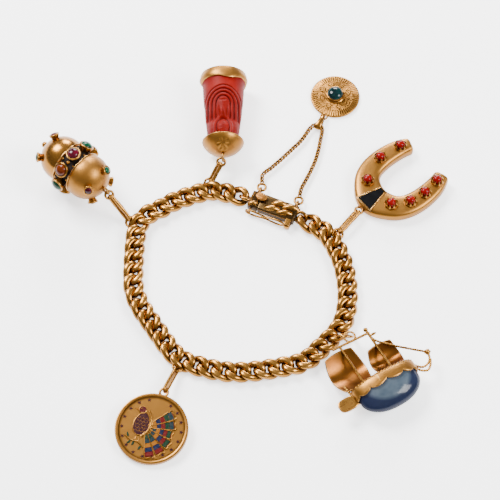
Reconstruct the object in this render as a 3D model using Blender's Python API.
"""A gold curb-link bracelet with a box clasp, a safety latch, a safety chain and seven charms.

The bracelet lies closed on a table. Lengths below are millimetres; the meshes are made in metres.
X and Y lie in the table, +Z points up, and the origin is under the middle of the whole bracelet.
"""

import math

import bpy
import bmesh
import numpy as np
from mathutils import Matrix, Vector

MM = 0.001
GAP = 0.12  # running clearance between neighbouring pieces

# Curb chain
CHAIN_WIRE = 1.6
CHAIN_WIDTH = 5.3
CHAIN_PITCH = 3.63
LINK_BITE = 0.02  # how far each link is soldered into its neighbour
LINK_SIDES = 10
WIRE_SIDES = 5
RING_SIDES = 10

# Box clasp, centred between the two ends of the chain
CLASP_PLACE = (6.1, 11.9)
CLASP_TURN = -23.0
CLASP_LENGTH = 13.0
CLASP_WIDTH = 4.8
CLASP_HEIGHT = 2.5
CLASP_WALL = 0.5
TONGUE_BLOCK = 2.7  # length of the solid block that carries the tongue
EYE_WIRE = 0.9
EYE_RADIUS = 1.5
LEAF_THICKNESS = 0.4
LEAF_LENGTH = 5.0
PAD_LENGTH = 3.2
PAD_WIDTH = 2.3
PAD_HEIGHT = 0.7
PAD_LIFT = 0.55  # space under the pad, which the press uses up
PAD_SIDEWAYS = 0.75

# Safety latch on the clasp's inner side
LATCH_WIRE = 0.55
LATCH_HEIGHT = 2.6
PIN_RADIUS = 0.45
SLEEVE_WALL = 0.3
SLEEVE_HEIGHT = 1.4
PIN_REACH = 1.25  # from the clasp's side to the pin's axis
HINGE_ALONG = 5.3
STUD_ALONG = -5.4
STUD_RADIUS = 0.47
LUG_THICKNESS = 0.4

# Small round wire of the eyes, jump rings and connecting links
RING_WIRE = 0.5
HOOK_RADIUS = 1.35
CHARM_EYE_RADIUS = 1.0
JUMP_RADIUS = 1.05
OVAL_WIDTH = 1.9
LEAN = Vector((0.0, -0.49, 0.87))  # the way most rings lean, over towards -Y

# Safety chain, drawn as a tube of the chain's own thickness
SAFETY_THICKNESS = 0.8
SAFETY_HEIGHT = 1.1

# Ball charm
BALL_PLACE = (-45.7, 20.3)
BALL_TURN = -40.5
DOME_RADIUS = 6.0
DOME_OFFSET = 4.1  # from the middle of the ball to each dome's centre
BAND_HALF = 2.5
BAND_RADIUS = 5.3
RIM_WIRE = 0.5
BAND_STONES = 8
BAND_STONE_RADIUS = 1.5
BAND_STONE_RISE = 0.85
BAND_COLLET_TOP = 7.15
SMALL_STONES = 4  # on each dome
SMALL_STONE_RADIUS = 0.9
SMALL_STONE_RISE = 0.5
SMALL_COLLET_REACH = 1.15  # how far a collet stands out of its dome
COLLET_WALL = 0.4
COLLET_SEAT = 0.55  # depth of a seat as a share of its stone's radius
FINIAL_RADIUS = 0.85

# Coral figure under a gold hat, lying on its back with its head to the chain
CORAL_PLACE = (-7.1, 25.7)
CORAL_LENGTH = 24.6
HAT_DEPTH = 3.7
HAT_RADIUS = 5.55
HAT_SHEET = 0.5
CORAL_TOP_WIDTH = 7.6
CORAL_BASE_WIDTH = 11.4
CORAL_FRONT = 0.92  # depth as a share of the half width, in front and behind
CORAL_BACK = 0.875
CAP_WALL = 0.5
CAP_CLEARANCE = 0.3
CAP_WAVE = 0.3
CORAL_ROWS = 18
CORAL_SIDES = 16

# Round disc with a cabochon
DISC_PLACE = (22.95, 47.2)
DISC_RADIUS = 6.6
DISC_EDGE = 0.7
DISC_RISE = 0.6
BEZEL_RADIUS = 2.35
BEZEL_RISE = 1.0
DISC_STONE_RADIUS = 1.95
DISC_EAR_RADIUS = 0.85
BAIL_LENGTH = 4.8
BAIL_HEIGHT = 2.3
BAIL_WIDTH = 1.6
BAIL_SHEET = 0.35
BAIL_SIDES = 14

# Horseshoe
SHOE_PLACE = (29.05, 11.35)
SHOE_TURN = 39.7
SHOE_LENGTH = 23.2
SHOE_WIDTH = 21.2
SHOE_THICKNESS = 3.6
SHOE_BEAD_RADIUS = 1.2
SHOE_CUP_RADIUS = 1.65
SHOE_CUP_RISE = 0.9
ONYX_LENGTH = 6.4
ONYX_WIDE = 4.6
ONYX_NARROW = 1.3
ONYX_DEPTH = 0.6

# Ship, lying on its side with the masts pointing away from the viewer
SHIP_PLACE = (33.3, -39.7)
SHIP_TURN = 30.7
HULL_LENGTH = 17.0
HULL_DEPTH = 7.9
HULL_BEAM = 7.0
DECK_THICKNESS = 0.6
COLLAR_DEPTH = 2.6
COLLAR_SHEET = 0.45
ROPE = 0.7
MAST_HEIGHT = 13.1
MAIN_MAST = -4.6
FORE_MAST = 3.6
SAIL_SHEET = 0.5
MAIN_SAIL = (-10.8, -1.3, 1.3, 12.3)
FORE_SAIL = (0.1, 8.2, 1.3, 9.0)
SAIL_BELLY = 2.6
SHIP_RING_RADIUS = 1.4
SHIP_RING_WIRE = 0.6
SHIP_RING_ALONG = -0.9

# Coin
COIN_PLACE = (-24.4, -52.2)
COIN_TURN = -17.2
COIN_TILT = 8.0
COIN_RADIUS = 9.2
COIN_THICKNESS = 1.5
COIN_RIM = 0.8
COIN_RIM_RISE = 0.25
RELIEF = 0.3


# Chosen by hand: the way the middle of the curb chain lies on the table, from the clasp's right end
# round the front to its left end, and the way the safety chain lies between its two rings.
CHAIN_ROUTE = (
    (19.3, 4.7), (21.3, 2.0), (23.8, -4.0), (25.0, -11.0), (24.8, -17.7), (23.0, -23.5),
    (18.7, -28.6), (13.8, -33.1), (7.3, -34.9), (-1.0, -36.1), (-7.5, -35.8), (-14.6, -33.9),
    (-17.6, -32.3), (-20.0, -29.9), (-24.0, -23.8), (-28.0, -17.3), (-29.8, -12.0),
    (-30.0, -4.8), (-29.7, 2.5), (-29.0, 6.6), (-27.0, 9.4), (-24.5, 10.8), (-20.5, 13.4),
    (-15.0, 15.7), (-9.5, 17.0),
)
SAFETY_ROUTE = (
    (3.4, 22.2), (5.7, 24.4), (8.3, 27.0), (11.0, 29.9), (13.6, 32.8), (15.6, 36.0), (16.7, 37.4),
    (17.7, 37.9), (18.5, 37.9), (19.1, 37.2), (19.3, 35.9), (18.8, 33.0), (18.2, 29.8),
    (17.2, 26.2), (15.9, 23.0), (14.6, 20.2), (13.5, 17.8),
)


def clear_scene():
    for thing in list(bpy.data.objects):
        bpy.data.objects.remove(thing, do_unlink=True)


def finish(name, colour, roughness, metallic):
    material = bpy.data.materials.new(name)
    material.use_nodes = True
    shader = material.node_tree.nodes["Principled BSDF"]
    shader.inputs["Base Color"].default_value = (*colour, 1.0)
    shader.inputs["Roughness"].default_value = roughness
    shader.inputs["Metallic"].default_value = metallic
    material.diffuse_color = (*colour, 1.0)
    return material


def frame(name, place, turn=0.0, tilt=0.0, parent=None):
    """An empty that carries one charm: turned about Z and then tilted about its own X."""
    empty = bpy.data.objects.new(name, None)
    bpy.context.scene.collection.objects.link(empty)
    empty.parent = parent
    empty.rotation_mode = "XYZ"
    empty.location = Vector(place) * MM
    empty.rotation_euler = (math.radians(tilt), 0.0, math.radians(turn))
    return empty


# Shapes are pairs of a list of points and a list of faces, in millimetres.


def moved(shape, matrix):
    points, faces = shape
    return [matrix @ Vector(point) for point in points], faces


def skin(rings, closed=False):
    """Joins a row of rings of points with quads, and fills both ends unless the row is closed.

    A ring of a single point is a pole.
    """
    points, starts = [], []
    for ring in rings:
        starts.append(len(points))
        points += [Vector(point) for point in ring]
    faces = []
    pairs = list(zip(range(len(rings)), range(1, len(rings))))
    if closed:
        pairs.append((len(rings) - 1, 0))
    for low, high in pairs:
        a, b = starts[low], starts[high]
        count_a, count_b = len(rings[low]), len(rings[high])
        for i in range(max(count_a, count_b)):
            j = i + 1
            face = [a + i % count_a, a + j % count_a, b + j % count_b, b + i % count_b]
            if count_a == 1:
                face = [a, b + j % count_b, b + i % count_b]
            elif count_b == 1:
                face = [a + i % count_a, a + j % count_a, b]
            faces.append(face)
    if not closed:
        if len(rings[0]) > 1:
            faces.append([starts[0] + i for i in reversed(range(len(rings[0])))])
        if len(rings[-1]) > 1:
            faces.append([starts[-1] + i for i in range(len(rings[-1]))])
    return points, faces


def circle(radius, height, sides):
    """Points round the Z axis; a radius of zero gives the single point on the axis."""
    if radius == 0.0:
        return [(0.0, 0.0, height)]
    angles = [2 * math.pi * i / sides for i in range(sides)]
    return [(radius * math.cos(t), radius * math.sin(t), height) for t in angles]


def turned(profile, sides, closed=False):
    """A profile of (radius, height) rows turned about Z."""
    return skin([circle(radius, height, sides) for radius, height in profile], closed)


def swept(path, section, closed=False, up=None):
    """Carries a section along a path. The section is a function of the share along the path and
    gives (across, above) pairs; `up` gives the direction that counts as above at each point."""
    count = len(path)
    rings = []
    for i, point in enumerate(path):
        before = path[i - 1] if closed or i else path[0]
        after = path[(i + 1) % count] if closed or i < count - 1 else path[-1]
        along = (after - before).normalized()
        above = up(i) - along * up(i).dot(along)
        above.normalize()
        across = along.cross(above)
        share = i / (count if closed else count - 1)
        rings.append([point + across * x + above * y for x, y in section(share)])
    return skin(rings, closed)


def round_section(radius, sides):
    """A round wire's section, with its flat towards neither side."""
    angles = [2 * math.pi * (i + 0.5) / sides for i in range(sides)]
    pairs = [(radius * math.cos(t), radius * math.sin(t)) for t in angles]
    return lambda share: pairs


def wire_loop(half_length, half_width, wire, sides, wire_sides, rise=0.0):
    """A closed wire: an ellipse in X and Y whose height swings twice up and down by `rise`."""
    angles = [2 * math.pi * i / sides for i in range(sides)]
    path = [
        Vector((half_length * math.cos(t), half_width * math.sin(t), rise * math.sin(2 * t)))
        for t in angles
    ]
    outward = [Vector((math.cos(t), math.sin(t), 0.0)) for t in angles]
    return swept(path, round_section(wire / 2, wire_sides), True, lambda i: outward[i])


def ring(radius, wire=RING_WIRE, sides=RING_SIDES, wire_sides=WIRE_SIDES):
    return wire_loop(radius, radius, wire, sides, wire_sides)


def rope(points, thickness, sides=5, up=Vector((0.0, 0.0, 1.0))):
    """A straight or bent round bar through the points."""
    path = [Vector(point) for point in points]
    return swept(path, round_section(thickness / 2, sides), False, lambda i: up)


def ball(radius, centre, sides=10, rows=5):
    profile = [
        (radius * math.sin(math.pi * i / rows), -radius * math.cos(math.pi * i / rows))
        for i in range(rows + 1)
    ]
    profile[0], profile[-1] = (0.0, -radius), (0.0, radius)
    return moved(turned(profile, sides), Matrix.Translation(centre))


def block(low, high):
    """A box between two corners."""
    (x0, y0, z0), (x1, y1, z1) = low, high
    return skin([[(x0, y0, z), (x1, y0, z), (x1, y1, z), (x0, y1, z)] for z in (z0, z1)])


def rounded_block(low, high, bevel):
    """A box whose four upright edges and top and bottom edges are cut back."""
    (x0, y0, z0), (x1, y1, z1) = low, high

    def outline(inset, z):
        corners = (
            (x0 + inset, y0 + inset + bevel), (x0 + inset + bevel, y0 + inset),
            (x1 - inset - bevel, y0 + inset), (x1 - inset, y0 + inset + bevel),
            (x1 - inset, y1 - inset - bevel), (x1 - inset - bevel, y1 - inset),
            (x0 + inset + bevel, y1 - inset), (x0 + inset, y1 - inset - bevel),
        )
        return [(x, y, z) for x, y in corners]

    return skin([
        outline(bevel, z0), outline(0.0, z0 + bevel), outline(0.0, z1 - bevel), outline(bevel, z1),
    ])


def cabochon(radius, rise, seat, sides=8):
    """A domed stone with its girdle at height 0: a straight seat below and a dome above."""
    return turned([
        (0.0, -seat), (radius, -seat), (radius, 0.0), (radius * 0.66, rise * 0.75), (0.0, rise),
    ], sides)


def axes(origin, along, above):
    """A matrix whose X runs along one direction and whose Z is as near as can be to another."""
    x = Vector(along).normalized()
    z = Vector(above) - x * Vector(above).dot(x)
    z.normalize()
    y = z.cross(x)
    return Matrix.Translation(Vector(origin)) @ Matrix((x, y, z)).transposed().to_4x4()


def mesh_of(name, shape):
    """A mesh in millimetres with its faces pointing out."""
    points, faces = shape
    mesh = bpy.data.meshes.new(name)
    mesh.from_pydata([tuple(point) for point in points], [], faces)
    work = bmesh.new()
    work.from_mesh(mesh)
    bmesh.ops.recalc_face_normals(work, faces=work.faces)
    work.to_mesh(mesh)
    work.free()
    return mesh


def helper(name, shape, collection):
    thing = bpy.data.objects.new(name, mesh_of(name, shape))
    thing.hide_render = True
    thing.display_type = "WIRE"
    collection.objects.link(thing)
    return thing


def combined(name, joined, cuts):
    """One mesh from pieces that run into each other, less the cutters."""
    scene = bpy.context.scene.collection
    base = helper(name + "_base", joined[0], scene)
    groups = []
    for label, shapes, operation in (("add", joined[1:], "UNION"), ("cut", cuts, "DIFFERENCE")):
        if not shapes:
            continue
        group = bpy.data.collections.new(name + "_" + label)
        scene.children.link(group)
        for shape in shapes:
            helper(name + "_" + label, shape, group)
        boolean = base.modifiers.new(label, "BOOLEAN")
        boolean.operation = operation
        boolean.operand_type = "COLLECTION"
        boolean.collection = group
        boolean.solver = "EXACT"
        groups.append(group)
    bpy.context.view_layer.update()
    graph = bpy.context.evaluated_depsgraph_get()
    mesh = bpy.data.meshes.new_from_object(base.evaluated_get(graph))
    for group in groups:
        for thing in list(group.objects):
            bpy.data.objects.remove(thing, do_unlink=True)
        bpy.data.collections.remove(group)
    bpy.data.objects.remove(base, do_unlink=True)
    return mesh


def piece(name, joined, material, parent, cuts=(), offset=(0.0, 0.0, 0.0)):
    """One named part of the bracelet, made from shapes given in its parent's millimetres."""
    if len(joined) == 1 and not cuts:
        mesh = mesh_of(name, joined[0])
    else:
        mesh = combined(name, joined, cuts)
    mesh.name = name
    mesh.transform(Matrix.Scale(MM, 4) @ Matrix.Translation(-Vector(offset)))
    mesh.shade_smooth()
    mesh.set_sharp_from_angle(angle=math.radians(40))
    mesh.materials.clear()
    mesh.materials.append(material)
    thing = bpy.data.objects.new(name, mesh)
    thing.parent = parent
    thing.location = Vector(offset) * MM
    bpy.context.scene.collection.objects.link(thing)
    return thing


def smooth_route(points, steps):
    """A Catmull-Rom curve through the points, with `steps` stretches between neighbours."""
    points = [Vector(point) for point in points]
    ends = [2 * points[0] - points[1]] + points + [2 * points[-1] - points[-2]]
    route = []
    for a, b, c, d in zip(ends, ends[1:], ends[2:], ends[3:]):
        for i in range(steps):
            t = i / steps
            route.append(
                0.5 * (2 * b + (c - a) * t + (2 * a - 5 * b + 4 * c - d) * t**2
                       + (3 * b - a - 3 * c + d) * t**3)
            )
    return route + [points[-1]]


def spaced(route, distances):
    """(point, direction) at each distance along a route."""
    lengths = [0.0]
    for a, b in zip(route, route[1:]):
        lengths.append(lengths[-1] + (b - a).length)
    found = []
    for distance in distances:
        i = max(k for k, length in enumerate(lengths[:-1]) if length <= max(distance, 0.0))
        stretch = route[i + 1] - route[i]
        share = (distance - lengths[i]) / stretch.length
        found.append((route[i] + stretch * share, stretch.normalized()))
    return found


def route_length(route):
    return sum((b - a).length for a, b in zip(route, route[1:]))


# Curb chain


def link_size():
    """Half length and half width of a link's wire centre line."""
    return (CHAIN_PITCH + CHAIN_WIRE) / 2, (CHAIN_WIDTH - CHAIN_WIRE) / 2


def link_rise():
    """How high a link's twisted wire swings, so that neighbours just run into each other."""
    half_length, half_width = link_size()
    t = np.linspace(0.0, 2 * np.pi, 181)

    def nearest(rise):
        wire = np.stack([half_length * np.cos(t), half_width * np.sin(t), rise * np.sin(2 * t)], 1)
        other = wire + [CHAIN_PITCH, 0.0, 0.0]
        return np.linalg.norm(wire[:, None] - other[None], axis=2).min()

    low, high = CHAIN_WIRE * 0.2, CHAIN_WIRE * 0.8
    for _ in range(24):
        middle = (low + high) / 2
        if nearest(middle) < CHAIN_WIRE - LINK_BITE:
            low = middle
        else:
            high = middle
    return high


def curb_link():
    half_length, half_width = link_size()
    return wire_loop(half_length, half_width, CHAIN_WIRE, LINK_SIDES, WIRE_SIDES, link_rise())


def chain_height():
    """The height of the chain's middle above the table."""
    points, _ = curb_link()
    return -min(point.z for point in points)


def clasp_matrix():
    turn = Matrix.Rotation(math.radians(CLASP_TURN), 4, "Z")
    return Matrix.Translation((*CLASP_PLACE, chain_height())) @ turn


def eye_along():
    """From the clasp's middle to the middle of each end eye, which is sunk into its end."""
    return CLASP_LENGTH / 2 + EYE_RADIUS - EYE_WIRE / 4


def chain_route():
    """The chain's centre line, from the middle of one end eye to the middle of the other."""
    place = clasp_matrix()
    start = place @ Vector((eye_along(), 0.0, 0.0))
    end = place @ Vector((-eye_along(), 0.0, 0.0))
    middle = [Vector((x, y, chain_height())) for x, y in CHAIN_ROUTE]
    return smooth_route([start] + middle + [end], 12)


def link_places(route):
    """(point, direction) of each link, the end ones held by the clasp's eyes."""
    half_length, _ = link_size()
    free = route_length(route) - 2 * half_length
    count = round(free / CHAIN_PITCH) + 1
    return spaced(route, [half_length + free * i / (count - 1) for i in range(count)])


def hook_edge(route, target):
    """The side wire of the link that lies nearest to a charm's eye, where its hook ring is."""
    links = link_places(route)[2:-2]
    point, along = min(links, key=lambda row: (row[0] - target).length)
    side = Vector((along.y, -along.x, 0.0))
    if side.dot(target - point) < 0:
        side = -side
    _, half_width = link_size()
    return point + side * half_width


def facing(along):
    """The normal of a ring that runs along a direction and leans over like the others."""
    normal = LEAN - along * LEAN.dot(along)
    return normal.normalized()


def hook_grip():
    """How far a hook ring's near wire lies behind the middle of the side wire it goes round."""
    return CHAIN_WIRE / 2 + RING_WIRE / 4


def hook_ring(edge, along, radius, normal):
    """A jump ring round a link's side wire, soldered to it, which points to its charm."""
    centre = edge + along * (radius - hook_grip())
    return moved(ring(radius), axes(centre, along, normal))


def curb_chain(route, hooks, gold, parent):
    link = curb_link()
    up = Vector((0.0, 0.0, 1.0))
    links = [moved(link, axes(point, along, up)) for point, along in link_places(route)]
    return piece("curb_chain", links + hooks, gold, parent)


# Links between a ring on the chain and an eye on a charm


def oval_link(name, start, end, normal, gold, parent):
    """A link whose two end wires have their centres at the two points."""
    along = end - start
    bend = (OVAL_WIDTH - RING_WIRE) / 2
    path, outward = [], []
    for side in (1, -1):
        for i in range(RING_SIDES // 2):
            t = math.pi * (i / (RING_SIDES // 2 - 1) - 0.5)
            outward.append(Vector((side * math.cos(t), side * math.sin(t), 0.0)))
            path.append(Vector((side * (along.length / 2 - bend), 0.0, 0.0)) + outward[-1] * bend)
    shape = swept(path, round_section(RING_WIRE / 2, WIRE_SIDES), True, lambda i: outward[i])
    place = axes((start + end) / 2, along, normal)
    return piece(name, [moved(shape, place)], gold, parent)


def connect(name, edge, eye, eye_normal, gold, parent, with_ring):
    """Joins a link's side wire and a charm's eye and gives the hook ring's shape: an oval link
    runs from it to the eye, with a round jump ring between them where the way is long. Each piece
    is turned across its neighbours."""
    along = (eye - edge).normalized()
    hook = hook_ring(edge, along, HOOK_RADIUS, facing(along))
    room = RING_WIRE + GAP
    start = edge + along * (2 * HOOK_RADIUS - hook_grip() - room)
    back = -along + eye_normal * along.dot(eye_normal)
    end = eye + back.normalized() * (CHARM_EYE_RADIUS - room)
    along = (end - start).normalized()
    flat = facing(along)
    across = along.cross(flat)
    if with_ring:
        place = axes(end - along * JUMP_RADIUS, along, flat)
        piece(name + "_ring", [moved(ring(JUMP_RADIUS), place)], gold, parent)
        end = end - along * (2 * JUMP_RADIUS - room)
    oval_link(name + "_link", start, end, across, gold, parent)
    return hook


def direct_hook(edge, eye):
    """The ship's own ring hangs straight in its hook ring, which stands across it."""
    along = (eye - edge).normalized()
    overlap = (SHIP_RING_WIRE + RING_WIRE) / 2 + GAP
    radius = ((eye - edge).length - SHIP_RING_RADIUS + overlap + hook_grip()) / 2
    return hook_ring(edge, along, radius, along.cross(facing(along)))


# Box clasp: a box with a cavity, a tongue on a block, a thumb piece on the tongue's upper leaf


def clasp_eye(side):
    """The eye that the chain's end link hangs in, turned across that link's wire."""
    _, half_width = link_size()
    slant = Vector((0.0, half_width, -side * 2 * link_rise())).normalized()
    normal = Vector((0.0, slant.y, slant.z))
    centre = (side * eye_along(), 0.0, 0.0)
    return moved(ring(EYE_RADIUS, EYE_WIRE), axes(centre, (1.0, 0.0, 0.0), normal))


def box_start():
    """Where the box begins, counted from the clasp's middle; the tongue's block lies before it."""
    return -CLASP_LENGTH / 2 + TONGUE_BLOCK + GAP


def cover_links(low, high):
    """Two short curb links laid over the clasp, so that the chain's pattern runs on across it."""
    half_length = (high - low) / 4
    _, half_width = link_size()
    link = wire_loop(half_length, half_width, CHAIN_WIRE, LINK_SIDES, WIRE_SIDES, link_rise())
    inset = half_length + CHAIN_WIRE / 2
    return [moved(link, Matrix.Translation((along, 0.0, 0.0))) for along in (low + inset,
                                                                            high - inset)]


def safety_eye(along):
    """An upright eye on the clasp's outer side, for the safety chain's end ring."""
    centre = (along, CLASP_WIDTH / 2 + CHARM_EYE_RADIUS - RING_WIRE / 2, 0.0)
    return moved(ring(CHARM_EYE_RADIUS), axes(centre, (0.0, 1.0, 0.0), (1.0, 0.0, 0.0)))


def clasp_box(gold, parent):
    half_width, half_height = CLASP_WIDTH / 2, CLASP_HEIGHT / 2
    start, end = box_start(), CLASP_LENGTH / 2
    body = rounded_block((start, -half_width, -half_height), (end, half_width, half_height), 0.3)
    covers = cover_links(start + PAD_LENGTH / 2 + GAP, end - GAP)
    side = -half_width - PIN_REACH
    lugs = []
    for sign in (-1, 1):
        top = sign * (SLEEVE_HEIGHT / 2 + GAP + LUG_THICKNESS)
        bottom = sign * (SLEEVE_HEIGHT / 2 + GAP)
        low, high = sorted((top, bottom))
        lugs.append(block(
            (HINGE_ALONG - PIN_RADIUS - SLEEVE_WALL, side - PIN_RADIUS, low),
            (HINGE_ALONG + PIN_RADIUS + SLEEVE_WALL, -half_width + 0.6, high),
        ))
    pin_half = SLEEVE_HEIGHT / 2 + GAP + LUG_THICKNESS / 2
    pin = moved(turned([(0.0, -pin_half), (PIN_RADIUS, -pin_half), (PIN_RADIUS, pin_half),
                        (0.0, pin_half)], 10), Matrix.Translation((HINGE_ALONG, side, 0.0)))
    cavity = block(
        (start - 1.0, -half_width + CLASP_WALL, -half_height + CLASP_WALL),
        (start + LEAF_LENGTH + 2 * GAP, half_width - CLASP_WALL, half_height - CLASP_WALL),
    )
    notch = block(
        (start - 1.0, PAD_SIDEWAYS - PAD_WIDTH / 4 - 2 * GAP, 0.0),
        (start + PAD_LENGTH * 0.4 + 2 * GAP, PAD_SIDEWAYS + PAD_WIDTH / 4 + 2 * GAP,
         half_height + 1.0),
    )
    piece("clasp_box", [body] + covers + lugs + [pin, clasp_eye(1), safety_eye(HINGE_ALONG)],
          gold, parent, [cavity, notch])


def clasp_tongue(gold, parent):
    half_width, half_height = CLASP_WIDTH / 2, CLASP_HEIGHT / 2
    start, end = -CLASP_LENGTH / 2, -CLASP_LENGTH / 2 + TONGUE_BLOCK
    body = rounded_block((start, -half_width, -half_height), (end, half_width, half_height), 0.3)
    floor = -half_height + CLASP_WALL + GAP
    inner = half_width - CLASP_WALL - GAP
    leaf = block((end - 0.5, -inner, floor), (box_start() + LEAF_LENGTH, inner,
                                              floor + LEAF_THICKNESS))
    stem = rope([(STUD_ALONG, -half_width + 0.3, 0.0), (STUD_ALONG, -half_width - PIN_REACH, 0.0)],
                0.6)
    stud = ball(STUD_RADIUS, (STUD_ALONG, -half_width - PIN_REACH - STUD_RADIUS / 2, 0.0))
    piece("clasp_tongue", [body, leaf, stem, stud, clasp_eye(-1), safety_eye(start + 1.3)], gold,
          parent)


def thumb_axis():
    """The fold at the deep end of the tongue, about which the upper leaf bends down."""
    floor = -CLASP_HEIGHT / 2 + CLASP_WALL + GAP
    height = floor + LEAF_THICKNESS + GAP + LEAF_THICKNESS / 2
    return Vector((box_start() + LEAF_LENGTH - LEAF_THICKNESS, 0.0, height))


def clasp_thumb_piece(gold, parent):
    """The upper leaf, which slopes up from the fold, with a stem and a ribbed oval pad."""
    inner = CLASP_WIDTH / 2 - CLASP_WALL - GAP
    fold = thumb_axis()
    half = LEAF_THICKNESS / 2
    ceiling = CLASP_HEIGHT / 2 - CLASP_WALL - GAP
    front = box_start() + PAD_LENGTH * 0.4
    near, far = fold.x + half, front - PAD_LENGTH * 0.4
    leaf = skin([
        [(near, y, fold.z - half), (near, y, fold.z + half), (far, y, ceiling),
         (far, y, ceiling - LEAF_THICKNESS)]
        for y in (-inner, inner)
    ])
    pad_floor = CLASP_HEIGHT / 2 + PAD_LIFT
    pad_place = Matrix.Translation((box_start(), PAD_SIDEWAYS, pad_floor))
    stem = block(
        (far, PAD_SIDEWAYS - PAD_WIDTH / 4, ceiling - LEAF_THICKNESS / 2),
        (front, PAD_SIDEWAYS + PAD_WIDTH / 4, pad_floor + PAD_HEIGHT / 2),
    )
    rows = ((0.86, 0.0), (1.0, 0.2), (1.0, 0.6), (0.8, 1.0))
    pad = moved(skin([
        [(share * PAD_LENGTH / 2 * math.cos(t), share * PAD_WIDTH / 2 * math.sin(t),
          height * PAD_HEIGHT)
         for t in (2 * math.pi * i / 12 for i in range(12))]
        for share, height in rows
    ]), pad_place)
    piece("clasp_thumb_piece", [leaf, stem, pad], gold, parent, offset=fold)


def safety_latch(gold, parent):
    """A figure-of-eight wire standing on edge beside the clasp, hung on the pin by a sleeve."""
    side = -CLASP_WIDTH / 2 - PIN_REACH
    axis = Vector((HINGE_ALONG, side, 0.0))
    hole = PIN_RADIUS + GAP
    outer = hole + SLEEVE_WALL
    half = SLEEVE_HEIGHT / 2
    sleeve = moved(turned([(hole, -half), (outer, -half), (outer, half), (hole, half)], 10, True),
                   Matrix.Translation(axis))
    tip = STUD_ALONG - STUD_RADIUS - LATCH_WIRE - GAP
    near = HINGE_ALONG - outer + LATCH_WIRE * 0.6
    middle, length = (tip + near) / 2, (near - tip) / 2 - LATCH_WIRE / 2
    count = 20
    angles = [2 * math.pi * (i + 0.5) / count for i in range(count)]
    height = (LATCH_HEIGHT - LATCH_WIRE) / 2
    path, outward = [], []
    for t in angles:
        waist = 0.42 + 0.58 * min(1.0, abs(math.cos(t)) * 1.6)
        path.append(Vector((middle + length * math.cos(t), side,
                            height * waist * math.copysign(abs(math.sin(t)) ** 0.45, math.sin(t)))))
        outward.append(Vector((math.cos(t), 0.0, math.sin(t))))
    wire = swept(path, round_section(LATCH_WIRE / 2, WIRE_SIDES), True, lambda i: outward[i])
    piece("safety_latch", [wire, sleeve], gold, parent, offset=axis)


def safety_ring_centre(along):
    """The end ring lies level, with its wire through the upright eye."""
    eye_middle = CLASP_WIDTH / 2 + CHARM_EYE_RADIUS - RING_WIRE / 2
    inside = CHARM_EYE_RADIUS - RING_WIRE - GAP
    return Vector((along, eye_middle + inside + JUMP_RADIUS, 0.0))


def safety_rings(gold, parent):
    for name, along in (("right", HINGE_ALONG), ("left", -CLASP_LENGTH / 2 + 1.3)):
        place = Matrix.Translation(safety_ring_centre(along))
        piece("safety_ring_" + name, [moved(ring(JUMP_RADIUS), place)], gold, parent)


def safety_chain(gold, parent):
    """A tube along the safety chain's way, from ring to ring through the disc's bail."""
    place = clasp_matrix()
    clear = JUMP_RADIUS + RING_WIRE / 2 + GAP + SAFETY_THICKNESS / 8
    middle = [Vector((x, y, SAFETY_HEIGHT)) for x, y in SAFETY_ROUTE]
    ends = []
    for along, next_point in ((-CLASP_LENGTH / 2 + 1.3, middle[0]), (HINGE_ALONG, middle[-1])):
        centre = place @ safety_ring_centre(along)
        ends.append(centre + (next_point - centre).normalized() * clear)
    points = smooth_route([ends[0]] + middle + [ends[1]], 2)
    curve = bpy.data.curves.new("safety_chain", "CURVE")
    curve.dimensions = "3D"
    curve.bevel_depth = SAFETY_THICKNESS / 2 * MM
    curve.bevel_resolution = 2
    curve.use_fill_caps = True
    spline = curve.splines.new("POLY")
    spline.points.add(len(points) - 1)
    for slot, point in zip(spline.points, points):
        slot.co = (*(point * MM), 1.0)
    curve.materials.append(gold)
    thing = bpy.data.objects.new("safety_chain", curve)
    thing.parent = parent
    bpy.context.scene.collection.objects.link(thing)


# Ball charm: X is the ball's axis, with the eye at +X and the finial at -X


def ball_profile():
    """Half of the ball's outline as (radius, along) rows, from the middle of the band outward."""
    rows = [(BAND_RADIUS, 0.0), (BAND_RADIUS, BAND_HALF - RIM_WIRE)]
    start = math.acos((BAND_HALF - DOME_OFFSET) / DOME_RADIUS)
    edge = DOME_RADIUS * math.sin(start)
    rows += [(edge + RIM_WIRE * 0.2, BAND_HALF - RIM_WIRE), (edge + RIM_WIRE * 0.2, BAND_HALF)]
    steps = 5
    for i in range(steps):
        t = start * (1 - i / steps)
        rows.append((DOME_RADIUS * math.sin(t), DOME_OFFSET + DOME_RADIUS * math.cos(t)))
    rows.append((0.0, DOME_OFFSET + DOME_RADIUS))
    return rows


def collet(radius, foot, top, sides):
    """A cup for a stone: a flared tube from inside the ball, with a seat below its rim."""
    seat = top - radius * COLLET_SEAT
    return turned([
        (0.0, foot), (radius + GAP, foot), (radius + COLLET_WALL, top), (radius + GAP, top),
        (radius + GAP, seat), (0.0, seat),
    ], sides)


def band_stone_places():
    """Each band stone's outward direction as a matrix, counted round from the one on top."""
    for i in range(BAND_STONES):
        angle = 2 * math.pi * i / BAND_STONES
        outward = Vector((0.0, -math.sin(angle), math.cos(angle)))
        yield axes((0.0, 0.0, 0.0), (1.0, 0.0, 0.0), outward)


def small_stone_places():
    """Each small stone's direction from its dome's centre."""
    lean = math.radians(48)
    for sign, turn in ((-1, 24), (1, 9)):
        for i in range(SMALL_STONES):
            angle = math.radians(turn) + 2 * math.pi * (i + 0.5) / SMALL_STONES
            outward = Vector((sign * math.cos(lean), -math.sin(lean) * math.sin(angle),
                              math.sin(lean) * math.cos(angle)))
            yield axes((sign * DOME_OFFSET, 0.0, 0.0), outward.orthogonal(), outward)


def ball_eye():
    return Vector((DOME_OFFSET + DOME_RADIUS + CHARM_EYE_RADIUS - RING_WIRE / 2, 0.0, 0.0))


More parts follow.
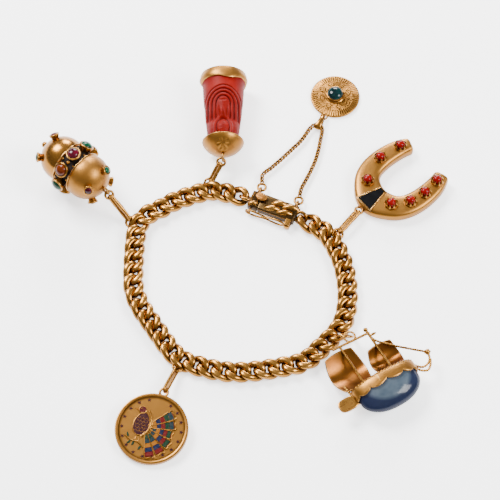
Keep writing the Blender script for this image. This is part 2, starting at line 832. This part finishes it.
def ball_charm(gold, band, small, parent):
    rows = ball_profile()
    outline = [(radius, -along) for radius, along in reversed(rows)] + rows[1:]
    lay = axes((0.0, 0.0, 0.0), (0.0, 0.0, -1.0), (1.0, 0.0, 0.0))
    shapes = [moved(turned(outline, 16), lay)]
    small_top = DOME_RADIUS + SMALL_COLLET_REACH
    for place in band_stone_places():
        shapes.append(moved(collet(BAND_STONE_RADIUS, BAND_RADIUS - 0.6, BAND_COLLET_TOP, 8),
                            place))
    for place in small_stone_places():
        shapes.append(moved(collet(SMALL_STONE_RADIUS, DOME_RADIUS - 0.6, small_top, 6), place))
    shapes.append(moved(ring(CHARM_EYE_RADIUS),
                        axes(ball_eye(), (1.0, 0.0, 0.0), (0.0, 1.0, 0.0))))
    finial = DOME_OFFSET + DOME_RADIUS + FINIAL_RADIUS * 0.8
    shapes.append(ball(FINIAL_RADIUS, (-finial, 0.0, 0.0), 8, 5))
    piece("ball_body", shapes, gold, parent)
    for i, place in enumerate(band_stone_places()):
        up = Matrix.Translation((0.0, 0.0, BAND_COLLET_TOP - GAP))
        stone = cabochon(BAND_STONE_RADIUS, BAND_STONE_RISE,
                         BAND_STONE_RADIUS * COLLET_SEAT - 2 * GAP)
        piece(f"ball_band_stone_{i + 1}", [moved(stone, place @ up)], band[i], parent)
    for i, place in enumerate(small_stone_places()):
        up = Matrix.Translation((0.0, 0.0, small_top - GAP))
        stone = cabochon(SMALL_STONE_RADIUS, SMALL_STONE_RISE,
                         SMALL_STONE_RADIUS * COLLET_SEAT - 2 * GAP, 6)
        piece(f"ball_small_stone_{i + 1}", [moved(stone, place @ up)], small[i], parent)


def ball_height():
    """The ball rests on the dome of the band stone that points down."""
    return BAND_COLLET_TOP - GAP + BAND_STONE_RISE


# Coral figure: Y runs from the hat's tip to the feet, +Z is the figure's front


def coral_half_width(share):
    """The carving's half width at a share of its length, from the head to the hem."""
    swell = 0.06 * math.sin(math.pi * share)
    return (CORAL_TOP_WIDTH + (CORAL_BASE_WIDTH - CORAL_TOP_WIDTH) * (share + swell * 2)) / 2


def coral_depth(share, angle):
    """How far the surface stands out or in from the plain robe: head, cowl, belly and sleeves."""
    front = max(0.0, math.cos(angle))
    head = 0.55 * math.exp(-((share - 0.16) / 0.07) ** 2) * front**2
    neck = -0.5 * math.exp(-((share - 0.3) / 0.04) ** 2) * front
    belly = 0.5 * math.exp(-((share - 0.58) / 0.12) ** 2) * front**2
    sweep = share - 0.22 * math.cos(angle) ** 3 * (1 if math.cos(angle) > 0 else 0)
    folds = 0.22 * math.sin(sweep * 34.0) * front * (0.25 < share < 0.9)
    hem = 0.3 * math.exp(-((share - 0.93) / 0.05) ** 2) * abs(math.sin(angle))
    return head + neck + belly + folds + hem


def coral_ring(share, grow=0.0):
    """Points round the carving at a share of its length, flatter at the back than in front."""
    start = HAT_DEPTH - 1.0
    length = CORAL_LENGTH - CAP_WALL - GAP - start
    points = []
    for i in range(CORAL_SIDES):
        angle = 2 * math.pi * (i + 0.5) / CORAL_SIDES
        radius = coral_half_width(share) + coral_depth(share, angle) + grow
        flat = CORAL_FRONT if math.cos(angle) > 0 else CORAL_BACK
        points.append((-radius * math.sin(angle), start + length * share,
                       radius * flat * math.cos(angle)))
    return points


def coral_eye():
    return Vector((0.0, RING_WIRE / 2 - CHARM_EYE_RADIUS, 0.0))


def coral_charm(coral, gold, parent):
    shares = [i / (CORAL_ROWS - 1) for i in range(CORAL_ROWS)]
    piece("coral_carving", [skin([coral_ring(share) for share in shares])], coral, parent)
    lay = axes((0.0, 0.0, 0.0), (1.0, 0.0, 0.0), (0.0, 1.0, 0.0))
    top = coral_half_width(0.0) * 1.25
    outer = [(0.0, 0.0), (HAT_RADIUS * 0.4, 0.5), (HAT_RADIUS * 0.78, HAT_DEPTH * 0.5),
             (HAT_RADIUS, HAT_DEPTH), (HAT_RADIUS - HAT_SHEET, HAT_DEPTH + 0.15)]
    seat = HAT_DEPTH - 1.0 - GAP
    inner = [(top, HAT_DEPTH - 0.3), (top, seat), (0.0, seat)]
    hat = [moved(turned(outer + inner, 16), lay),
           moved(ring(CHARM_EYE_RADIUS), axes(coral_eye(), (0.0, 1.0, 0.0), (1.0, 0.0, 0.0)))]
    piece("coral_hat", hat, gold, parent)

    def wall(share, grow, wave=0.0, end=None):
        points = coral_ring(share, grow)
        return [(x, end or y + wave * math.sin(math.pi * i / 2), z)
                for i, (x, y, z) in enumerate(points)]

    outer = CAP_CLEARANCE + CAP_WALL
    cap = skin([
        wall(1.0, outer * 0.8, end=CORAL_LENGTH), wall(shares[-2], outer),
        wall(shares[-3], outer, CAP_WAVE), wall(shares[-3], CAP_CLEARANCE, CAP_WAVE),
        wall(shares[-2], CAP_CLEARANCE), wall(1.0, CAP_CLEARANCE, end=CORAL_LENGTH - CAP_WALL),
    ])
    piece("coral_base_cap", [cap], gold, parent)


def coral_height():
    """The hat's brim and the hem's back lie on the table."""
    return HAT_RADIUS


# Disc: Z is up, the ear and the bail lie towards DISC_EAR_TURN


def disc_ear_direction():
    """Level direction from the disc's middle to the bail that the safety chain runs through."""
    bail = Vector((*SAFETY_ROUTE[8], 0.0)) - Vector((*DISC_PLACE, 0.0))
    return bail.normalized()


def disc_charm(gold, stone, parent):
    top = DISC_EDGE + DISC_RISE
    seat = top + BEZEL_RISE - DISC_STONE_RADIUS * 0.45
    profile = [
        (0.0, 0.0), (DISC_RADIUS - 0.2, 0.0), (DISC_RADIUS, DISC_EDGE),
        (DISC_RADIUS * 0.7, DISC_EDGE + DISC_RISE * 0.6), (BEZEL_RADIUS, top),
        (BEZEL_RADIUS, top + BEZEL_RISE), (DISC_STONE_RADIUS + GAP, top + BEZEL_RISE),
        (DISC_STONE_RADIUS + GAP, seat), (0.0, seat),
    ]
    ear_way = disc_ear_direction()
    ear = DISC_RADIUS + DISC_EAR_RADIUS - RING_WIRE / 2
    ear_shape = moved(ring(DISC_EAR_RADIUS, 0.45),
                      Matrix.Translation(ear_way * ear + Vector((0.0, 0.0, DISC_EDGE))))
    piece("disc_plate", [turned(profile, 24), ear_shape], gold, parent)
    up = Matrix.Translation((0.0, 0.0, top + BEZEL_RISE - GAP))
    dome = cabochon(DISC_STONE_RADIUS, 1.1, DISC_STONE_RADIUS * 0.45 - 2 * GAP, 12)
    piece("disc_stone", [moved(dome, up)], stone, parent)
    near = ear - DISC_EAR_RADIUS + 0.225 + GAP + BAIL_SHEET / 2 + 0.22
    middle = ear_way * (near + BAIL_LENGTH / 2)
    half_length, half_height = (BAIL_LENGTH - BAIL_SHEET) / 2, (BAIL_HEIGHT - BAIL_SHEET) / 2
    angles = [2 * math.pi * i / BAIL_SIDES for i in range(BAIL_SIDES)]
    path = [Vector((half_length * math.cos(t), 0.0, half_height * math.sin(t))) for t in angles]
    outward = [Vector((math.cos(t), 0.0, math.sin(t))) for t in angles]

    def band(share):
        """The band is narrow where it hangs in the disc's ear and wide at its other end."""
        half = BAIL_WIDTH / 2 * (0.65 - 0.25 * math.cos(2 * math.pi * share))
        deep = BAIL_SHEET / 2
        return (-half, -deep * 0.4), (half, -deep * 0.4), (half * 0.7, deep), (-half * 0.7, deep)

    loop = swept(path, band, True, lambda i: outward[i])
    place = axes(middle + Vector((0.0, 0.0, BAIL_HEIGHT / 2)), -ear_way, (0.0, 0.0, 1.0))
    piece("disc_bail", [moved(loop, place)], gold, parent)


# Horseshoe: X runs from the toe to the opening, Z is up


# Rows of share of the length, share of the width and the arm's share of the width
SHOE_ROWS = (
    (0.990, 0.290, 0.190),
    (0.820, 0.350, 0.245),
    (0.600, 0.370, 0.275),
    (0.400, 0.330, 0.295),
    (0.265, 0.215, 0.330),
    (0.180, 0.000, 0.390),
)


def shoe_path():
    """Centre line and half arm width round the horseshoe, from one heel to the other."""
    half = [
        (Vector((along * SHOE_LENGTH, across * SHOE_WIDTH, 0.0)), arm * SHOE_WIDTH / 2)
        for along, across, arm in SHOE_ROWS
    ]
    other = [(Vector((point.x, -point.y, 0.0)), arm) for point, arm in reversed(half[:-1])]
    rows = half + other
    packed = smooth_route([(point.x, point.y, arm) for point, arm in rows], 2)
    return [(Vector((row.x, row.y, 0.0)), row.z) for row in packed]


def shoe_bead_places():
    """Middles of the seven beads: three along one arm and four along the other."""
    path = [point for point, _ in shoe_path()]
    half = len(path) // 2
    arms = (([0.86, 0.58, 0.27], path[: half + 1]), ([0.27, 0.46, 0.66, 0.87], path[half:]))
    places = []
    for shares, arm in arms:
        for share in shares:
            target = share * SHOE_LENGTH
            near = min(range(len(arm) - 1), key=lambda k: abs(
                (arm[k].x + arm[k + 1].x) / 2 - target))
            a, b = arm[near], arm[near + 1]
            t = (target - a.x) / (b.x - a.x)
            places.append(a + (b - a) * t)
    return places


def shoe_eye():
    return Vector((RING_WIRE / 2 - CHARM_EYE_RADIUS, 0.0, SHOE_THICKNESS * 0.5))


def horseshoe(gold, coral, onyx, parent):
    path = shoe_path()
    top = SHOE_THICKNESS
    shape_rows = ((-0.85, 0.0), (0.85, 0.0), (1.0, 0.2), (1.0, 0.6), (0.65, 1.0),
                  (-0.65, 1.0), (-1.0, 0.6), (-1.0, 0.2))

    def section(share):
        arm = path[round(share * (len(path) - 1))][1]
        return [(across * arm, above * top) for across, above in shape_rows]

    body = swept([point for point, _ in path], section, False, lambda i: Vector((0, 0, 1)))
    shapes = [body]
    rim = top + SHOE_CUP_RISE
    floor = rim - SHOE_BEAD_RADIUS * 0.8
    for spot in shoe_bead_places():
        cup = turned([
            (0.0, top - 0.8), (SHOE_CUP_RADIUS, top - 0.8), (SHOE_CUP_RADIUS, rim),
            (SHOE_BEAD_RADIUS + GAP, rim), (SHOE_BEAD_RADIUS + GAP, floor), (0.0, floor),
        ], 8)
        shapes.append(moved(cup, Matrix.Translation(spot)))
    shapes.append(moved(ring(CHARM_EYE_RADIUS),
                        axes(shoe_eye(), (1.0, 0.0, 0.0), (0.0, 0.0, 1.0))))
    start = (2 * SHOE_ROWS[-1][0] * SHOE_LENGTH - ONYX_LENGTH) / 2

    def wedge(grow, low, high):
        corners = (
            (start - grow, -ONYX_WIDE / 2 - grow), (start + ONYX_LENGTH + grow,
                                                    -ONYX_NARROW / 2 - grow),
            (start + ONYX_LENGTH + grow, ONYX_NARROW / 2 + grow),
            (start - grow, ONYX_WIDE / 2 + grow),
        )
        return skin([[(x, y, z) for x, y in corners] for z in (low, high)])

    pocket = wedge(GAP, top - ONYX_DEPTH, top + 1.0)
    frame_bar = wedge(GAP + 0.3, top - ONYX_DEPTH - 0.4, top + 0.1)
    piece("horseshoe_body", shapes + [frame_bar], gold, parent, [pocket])
    piece("horseshoe_onyx", [wedge(0.0, top - ONYX_DEPTH + GAP, top + 0.12)], onyx, parent)
    for i, spot in enumerate(shoe_bead_places()):
        bead = cabochon(SHOE_BEAD_RADIUS, 1.0, SHOE_BEAD_RADIUS * 0.8 - 2 * GAP)
        place = Matrix.Translation(spot + Vector((0.0, 0.0, rim - GAP)))
        piece(f"horseshoe_coral_{i + 1}", [moved(bead, place)], coral, parent)


# Ship: X runs from the stern to the bow, Y up the masts, Z across the beam


def hull_outline(share, grow=0.0):
    """Half beam and depth of the hull at a share of its length from stern to bow."""
    middle = 2 * share - 1
    beam = HULL_BEAM / 2 * (1 - abs(middle) ** 2.2) ** 0.5
    depth = HULL_DEPTH * (0.36 + 0.64 * (1 - abs(middle) ** 2.4) ** 0.55)
    return beam + grow, depth + grow


def ship_hull(stone, parent):
    """A solid half-round stone: each cross-section is a half oval under the flat deck."""
    rows, arc = 13, 8
    rings = []
    for i in range(rows):
        share = 0.015 + 0.97 * i / (rows - 1)
        beam, depth = hull_outline(share)
        x = (share - 0.5) * HULL_LENGTH
        points = []
        for k in range(arc + 1):
            t = math.pi * k / arc
            points.append((x, -GAP - depth * math.sin(t) ** 0.75, beam * math.cos(t)))
        rings.append(points)
    piece("ship_hull", [skin(rings)], stone, parent)


def collar():
    """The deck and the scalloped gold skirt round the top of the hull."""
    sides = 24
    scallops = 6

    def ellipse(grow, drop_share):
        points = []
        for i in range(sides):
            t = 2 * math.pi * i / sides
            along = math.copysign(abs(math.cos(t)) ** 0.9, math.cos(t))
            wave = abs(math.sin(scallops * t)) ** 0.7
            fall = COLLAR_DEPTH * drop_share * (0.62 + 0.38 * wave)
            points.append((along * (HULL_LENGTH / 2 + grow),
                           -fall,
                           math.sin(t) * (HULL_BEAM / 2 + grow)))
        return points

    inner = GAP * 1.5
    outer = inner + COLLAR_SHEET
    top = [(x, DECK_THICKNESS, z) for x, _, z in ellipse(outer, 0.0)]
    rows = [top, ellipse(outer, 1.0), ellipse(inner, 1.0), ellipse(inner, 0.0)]
    return skin(rows)


def ship_sail(box):
    """A hollow sheet, its middle sunk away from the viewer like a filled sail."""
    left, right, low, high = box
    middle, half = (left + right) / 2, (right - left) / 2
    rows, columns = 7, 5
    front, back = [], []
    for i in range(rows):
        v = i / (rows - 1)
        bulge = math.sin(math.pi * (0.12 + 0.76 * v))
        width = half * (0.8 + 0.2 * bulge)
        depth = SAIL_BELLY * math.sin(math.pi * v)
        front_row, back_row = [], []
        for k in range(columns):
            u = 2 * k / (columns - 1) - 1
            y = low + (high - low) * v - 0.06 * (high - low) * u * u * (2 * v - 1)
            z = ROPE / 2 + SAIL_SHEET * 0.2 - depth * (1 - 0.25 * u * u)
            front_row.append(Vector((middle + width * u, y, z)))
        front.append(front_row)
    for i, row in enumerate(front):
        before, after = front[max(i - 1, 0)], front[min(i + 1, rows - 1)]
        for k, point in enumerate(row):
            side = row[min(k + 1, columns - 1)] - row[max(k - 1, 0)]
            normal = side.cross(after[k] - before[k]).normalized()
            back_row = point - normal * SAIL_SHEET
            back.append(back_row)
    back = [back[i * columns:(i + 1) * columns] for i in range(rows)]
    rings = [front[i] + list(reversed(back[i])) for i in range(rows)]
    return skin(rings)


def ship_eye():
    """The middle of the ring on the yard."""
    return Vector((SHIP_RING_ALONG, MAST_HEIGHT + SHIP_RING_RADIUS, ROPE / 2))


def ship_charm(gold, stone, parent):
    ship_hull(stone, parent)
    top = MAST_HEIGHT
    shapes = [collar()]
    lift = ROPE / 2
    shapes.append(rope([(MAIN_MAST, 0.0, lift), (MAIN_MAST, top, lift)], ROPE))
    shapes.append(rope([(FORE_MAST, 0.0, lift), (FORE_MAST, top + 0.6, lift)], ROPE))
    shapes.append(rope([(MAIN_MAST - 1.7, top + 0.3, lift), (FORE_MAST + 0.6, top - 0.1, lift)],
                       ROPE))
    shapes.append(ball(0.65, (FORE_MAST, top + 1.0, lift), 8, 5))
    half = HULL_LENGTH / 2
    tip = (half + 5.3, 1.0, 0.0)
    shapes.append(ball(0.95, tip, 8, 5))
    shapes.append(rope([(FORE_MAST, top - 0.1, lift), (half - 1.5, top * 0.55, lift * 0.6), tip],
                       ROPE * 0.8))
    shapes.append(rope([(half + 0.45, -0.4, 0.0), (half + 1.9, -2.0, 0.0), (half + 4.3, -1.2, 0.0),
                        tip], ROPE * 0.9))
    shapes.append(rope([(half + 0.45, -COLLAR_DEPTH * 0.5, 0.0), (half + 2.2, -3.3, 0.0),
                        (half + 4.5, -1.7, 0.0)], ROPE * 0.9))
    shapes.append(rope([(-half - 0.9, 3.5, 0.3), (-half - 0.35, -COLLAR_DEPTH, 0.0)], ROPE * 0.9))
    paddle = skin([
        [(-half - 2.3 + 2.3 * math.cos(t), -1.2 + 1.55 * math.sin(t), z)
         for t in (2 * math.pi * i / 12 for i in range(12))]
        for z in (-0.35, 0.35)
    ])
    shapes.append(paddle)
    shapes.append(moved(ring(SHIP_RING_RADIUS, SHIP_RING_WIRE),
                        axes(ship_eye(), (0.0, 1.0, 0.0), (0.0, 0.0, 1.0))))
    shapes += [ship_sail(MAIN_SAIL), ship_sail(FORE_SAIL)]
    piece("ship_rig", shapes, gold, parent)


def ship_height():
    return HULL_BEAM / 2 + GAP * 1.5 + COLLAR_SHEET


# Coin: Y points to the eye


def coin_eye():
    return Vector((0.0, COIN_RADIUS + CHARM_EYE_RADIUS - RING_WIRE / 2, 0.0))


def coin(gold, parent):
    face = COIN_THICKNESS / 2
    field = face - COIN_RIM_RISE
    profile = [
        (0.0, -face), (COIN_RADIUS, -face), (COIN_RADIUS, face), (COIN_RADIUS - COIN_RIM, face),
        (COIN_RADIUS - COIN_RIM, field), (0.0, field),
    ]
    shapes = [turned(profile, 24),
              moved(ring(CHARM_EYE_RADIUS), axes(coin_eye(), (0.0, 1.0, 0.0), (0.0, 0.0, 1.0)))]
    shapes += bird_relief(field)
    piece("coin_medal", shapes, gold, parent)


def bird_relief(field):
    """Raised plates for the enamelled bird: an oval body and seven tail feathers in a fan."""
    low, high = field - 0.2, field + RELIEF
    body = skin([
        [(-2.6 + 2.2 * math.cos(t), 0.6 + 3.1 * math.sin(t), z)
         for t in (2 * math.pi * i / 12 for i in range(12))]
        for z in (low, high)
    ])
    shapes = [body]
    for i in range(7):
        angle = math.radians(-62 + 17 * i)
        along = Vector((math.cos(angle), math.sin(angle), 0.0))
        across = Vector((-along.y, along.x, 0.0))
        root = Vector((-1.6, -0.2, 0.0))
        outline = [root + along * 1.0 - across * 0.25, root + along * 7.2 - across * 0.85,
                   root + along * 7.7, root + along * 7.2 + across * 0.85,
                   root + along * 1.0 + across * 0.25]
        shapes.append(skin([[(p.x, p.y, z) for p in outline] for z in (low, high)]))
    return shapes


def coin_height():
    tilt = math.radians(COIN_TILT)
    return COIN_RADIUS * math.sin(tilt) + COIN_THICKNESS / 2 * math.cos(tilt)


def centre_on_origin(whole):
    """Moves the bracelet so that the origin is under the middle of its box."""
    bpy.context.view_layer.update()
    graph = bpy.context.evaluated_depsgraph_get()
    low, high = Vector((1e9,) * 3), Vector((-1e9,) * 3)
    for thing in bpy.context.scene.objects:
        if thing.type not in ("MESH", "CURVE"):
            continue
        shown = thing.evaluated_get(graph)
        for vertex in shown.to_mesh().vertices:
            point = shown.matrix_world @ vertex.co
            low = Vector(map(min, low, point))
            high = Vector(map(max, high, point))
        shown.to_mesh_clear()
    middle = (low + high) / 2
    whole.location -= Vector((middle.x, middle.y, low.z))


def main():
    clear_scene()
    gold = finish("gold", (0.78, 0.52, 0.26), 0.25, 1.0)
    satin = finish("satin_gold", (0.76, 0.5, 0.25), 0.45, 1.0)
    coral = finish("coral", (0.75, 0.06, 0.03), 0.35, 0.0)
    onyx = finish("onyx", (0.01, 0.01, 0.012), 0.15, 0.0)
    ruby = finish("ruby", (0.35, 0.0, 0.04), 0.08, 0.0)
    amber = finish("amber", (0.45, 0.12, 0.02), 0.08, 0.0)
    green = finish("green_stone", (0.0, 0.25, 0.12), 0.08, 0.0)
    garnet = finish("garnet", (0.3, 0.01, 0.02), 0.08, 0.0)
    blue = finish("blue_stone", (0.2, 0.28, 0.38), 0.08, 0.0)

    whole = frame("bracelet", (0.0, 0.0, 0.0))
    route = chain_route()
    clasp = frame("clasp_frame", (*CLASP_PLACE, chain_height()), CLASP_TURN, 0.0, whole)
    clasp_box(gold, clasp)
    clasp_tongue(gold, clasp)
    clasp_thumb_piece(gold, clasp)
    safety_latch(gold, clasp)
    safety_rings(gold, clasp)
    safety_chain(gold, whole)

    ball_frame = frame("ball_frame", (*BALL_PLACE, ball_height()), BALL_TURN, 0.0, whole)
    band = (ruby, amber, green, garnet, amber, ruby, garnet, green)
    small = (green, ruby, green, ruby, ruby, ruby, green, green)
    ball_charm(satin, band, small, ball_frame)
    coral_frame = frame("coral_frame", (*CORAL_PLACE, coral_height()), 0.0, 0.0, whole)
    coral_charm(coral, satin, coral_frame)
    disc_charm(satin, green, frame("disc_frame", (*DISC_PLACE, 0.0), 0.0, 0.0, whole))
    shoe_frame = frame("horseshoe_frame", (*SHOE_PLACE, 0.0), SHOE_TURN, 0.0, whole)
    horseshoe(satin, coral, onyx, shoe_frame)
    ship_frame = frame("ship_frame", (*SHIP_PLACE, ship_height()), SHIP_TURN, 0.0, whole)
    ship_charm(gold, blue, ship_frame)
    coin_frame = frame("coin_frame", (*COIN_PLACE, coin_height()), COIN_TURN, COIN_TILT, whole)
    coin(gold, coin_frame)

    bpy.context.view_layer.update()
    eyes = (
        ("ball", ball_frame, ball_eye(), (0.0, 1.0, 0.0), True),
        ("coral", coral_frame, coral_eye(), (1.0, 0.0, 0.0), True),
        ("horseshoe", shoe_frame, shoe_eye(), (0.0, 0.0, 1.0), False),
        ("coin", coin_frame, coin_eye(), (0.0, 0.0, 1.0), False),
    )
    hooks = []
    for name, charm, eye, normal, with_ring in eyes:
        spot = charm.matrix_world @ (eye * MM) / MM
        normal = charm.matrix_world.to_3x3() @ Vector(normal)
        hooks.append(connect(name, hook_edge(route, spot), spot, normal, gold, whole, with_ring))
    spot = ship_frame.matrix_world @ (ship_eye() * MM) / MM
    hooks.append(direct_hook(hook_edge(route, spot), spot))
    curb_chain(route, hooks, gold, whole)
    centre_on_origin(whole)


main()
